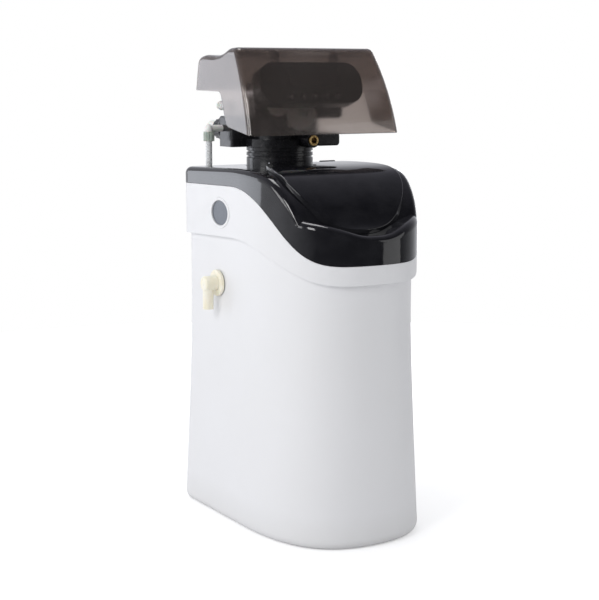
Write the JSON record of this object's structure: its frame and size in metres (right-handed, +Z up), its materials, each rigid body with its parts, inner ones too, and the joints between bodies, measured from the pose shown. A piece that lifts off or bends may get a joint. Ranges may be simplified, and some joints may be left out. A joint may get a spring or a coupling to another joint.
{
  "type": "compact water softener",
  "caption": "Compact cabinet water softener: flared brine tank with black salt lid, resin vessel, metered control valve and smoked valve cover.",
  "frame": {"origin": "on the floor, at the centre of the cabinet's plan: midway between its side walls and between its back and the front of its bow, measured on the upper wall", "axes": "+X to the object's left as it faces the user (right for a viewer in front), -Y towards the viewer in front, +Z up"},
  "size_m": [0.2686, 0.3741, 0.6968],
  "materials": {
    "white_shell": "satin white, fine moulded grain",
    "badge_dark": "plain dark plate",
    "gloss_black": "high gloss black",
    "ivory": "ivory moulded, soft gloss",
    "rubber": "matt black rubber",
    "vessel_wrap": "wound glass fibre under resin, dark blue",
    "black_moulded": "black moulded plastic with a fine grain",
    "resin": "amber beads",
    "white_moulded": "white moulded plastic",
    "grey_moulded": "grey moulded plastic",
    "float_foam": "white foam",
    "milky_tube": "milky tube",
    "clear_clip": "clear moulded clip",
    "brass": "turned brass",
    "steel": "bright steel",
    "green_nut": "pale green translucent nut",
    "faceplate_black": "dark panel",
    "window": "clear window",
    "display": "dark display glass",
    "board": "green circuit board",
    "button_grey": "soft grey keys",
    "smoked_cover": "smoked brown clear plastic"
  },
  "bodies": {
    "root": {"badge_plate": "badge_dark", "badge_ring": "white_shell", "brass_plug": "brass", "brine_elbow": "white_moulded", "brine_elbow_nut": "green_nut", "brine_tube": "milky_tube", "brine_valve": "white_moulded", "brine_well": "grey_moulded", "cabinet": "white_shell", "circuit_board": "board", "collar": "white_shell", "controller_housing": "black_moulded", "display_lens": "window", "display_module": "display", "drain_elbow": "white_moulded", "drive_bracket": "black_moulded", "drive_cap": "black_moulded", "drive_cap_screws": "steel", "drive_motor": "steel", "faceplate": "faceplate_black", "injector_cap": "black_moulded", "injector_nozzle": "white_moulded", "lid_hinge_pins": "steel", "lower_basket": "grey_moulded", "neck_ring": "black_moulded", "overflow_fitting": "ivory", "overflow_gasket": "rubber", "overflow_nut": "ivory", "pickup_tube": "white_moulded", "piston_seals": "rubber", "port_clips": "clear_clip", "port_nuts": "black_moulded", "port_tails": "white_moulded", "power_jack": "black_moulded", "resin_bed": "resin", "riser_tube": "white_moulded", "salt_grid": "white_moulded", "seal_spacers": "white_moulded", "top_cover": "gloss_black", "upper_basket": "grey_moulded", "valve_body": "black_moulded", "vessel": "vessel_wrap", "vessel_boot": "black_moulded"},
    "salt_lid": {"salt_lid": "gloss_black"},
    "valve_cover": {"valve_cover": "smoked_cover"},
    "drive_gear": {"drive_gear": "white_moulded"},
    "idler_gear": {"idler_gear": "white_moulded"},
    "motor_pinion": {"motor_pinion": "white_moulded"},
    "piston": {"piston": "grey_moulded", "piston_rod": "steel"},
    "brine_float": {"brine_float": "float_foam", "float_rod": "white_moulded"},
    "brine_well_cap": {"brine_well_cap": "grey_moulded"},
    "meter_turbine": {"meter_turbine": "white_moulded"},
    "overflow_elbow": {"overflow_elbow": "ivory"},
    "menu_button": {"menu_button": "button_grey"},
    "down_button": {"down_button": "button_grey"},
    "up_button": {"up_button": "button_grey"},
    "set_button": {"set_button": "button_grey"},
    "regenerate_button": {"regenerate_button": "button_grey"}
  },
  "joints": [
    {"name": "salt_lid_hinge", "type": "hinge", "parent": "root", "child": "salt_lid", "pos_m": [0, 0.022, 0.5291], "axis": [-1, 0, 0], "range_deg": [0, 30]},
    {"name": "valve_cover_lift", "type": "slide", "parent": "root", "child": "valve_cover", "axis": [0, 0, 1], "range_m": [0, 0.14]},
    {"name": "drive_gear_turn", "type": "hinge", "parent": "root", "child": "drive_gear", "pos_m": [0, 0.0258, 0.602], "axis": [0, -1, 0], "range_deg": [0, 540]},
    {"name": "idler_gear_turn", "type": "hinge", "parent": "root", "child": "idler_gear", "pos_m": [-0.03894, 0.0258, 0.61773], "axis": [0, -1, 0], "range_deg": [-721, 0]},
    {"name": "motor_pinion_turn", "type": "hinge", "parent": "root", "child": "motor_pinion", "pos_m": [-0.05809, 0.0258, 0.6338], "axis": [0, -1, 0], "range_deg": [0, 1852]},
    {"name": "piston_slide", "type": "slide", "parent": "root", "child": "piston", "axis": [0, -1, 0], "range_m": [0, 0.0302]},
    {"name": "brine_float_slide", "type": "slide", "parent": "root", "child": "brine_float", "axis": [0, 0, 1], "range_m": [0, 0.024]},
    {"name": "brine_well_cap_lift", "type": "slide", "parent": "root", "child": "brine_well_cap", "axis": [0, 0, 1], "range_m": [0, 0.03]},
    {"name": "meter_turbine_spin", "type": "hinge", "parent": "root", "child": "meter_turbine", "pos_m": [0.06, 0.122, 0.577], "axis": [0, 1, 0], "continuous": true},
    {"name": "overflow_elbow_swivel", "type": "hinge", "parent": "root", "child": "overflow_elbow", "pos_m": [-0.1213, 0.07, 0.354], "axis": [1, 0, 0], "range_deg": [-180, 180]},
    {"name": "menu_button_press", "type": "slide", "parent": "root", "child": "menu_button", "axis": [0, 0.9397, -0.342], "range_m": [0, 0.001], "stiffness_N_per_m": 500, "springref_m": -0.001},
    {"name": "down_button_press", "type": "slide", "parent": "root", "child": "down_button", "axis": [0, 0.9397, -0.342], "range_m": [0, 0.001], "stiffness_N_per_m": 500, "springref_m": -0.001},
    {"name": "up_button_press", "type": "slide", "parent": "root", "child": "up_button", "axis": [0, 0.9397, -0.342], "range_m": [0, 0.001], "stiffness_N_per_m": 500, "springref_m": -0.001},
    {"name": "set_button_press", "type": "slide", "parent": "root", "child": "set_button", "axis": [0, 0.9397, -0.342], "range_m": [0, 0.001], "stiffness_N_per_m": 500, "springref_m": -0.001},
    {"name": "regenerate_button_press", "type": "slide", "parent": "root", "child": "regenerate_button", "axis": [0, 0.9397, -0.342], "range_m": [0, 0.001], "stiffness_N_per_m": 500, "springref_m": -0.001}
  ],
  "couplings": [
    {"joint": "idler_gear_turn", "follows": "drive_gear_turn", "ratio": -1.3333},
    {"joint": "motor_pinion_turn", "follows": "drive_gear_turn", "ratio": 3.4286},
    {"joint": "piston_slide", "follows": "drive_gear_turn", "m_per_rad": 0.0031831}
  ]
}
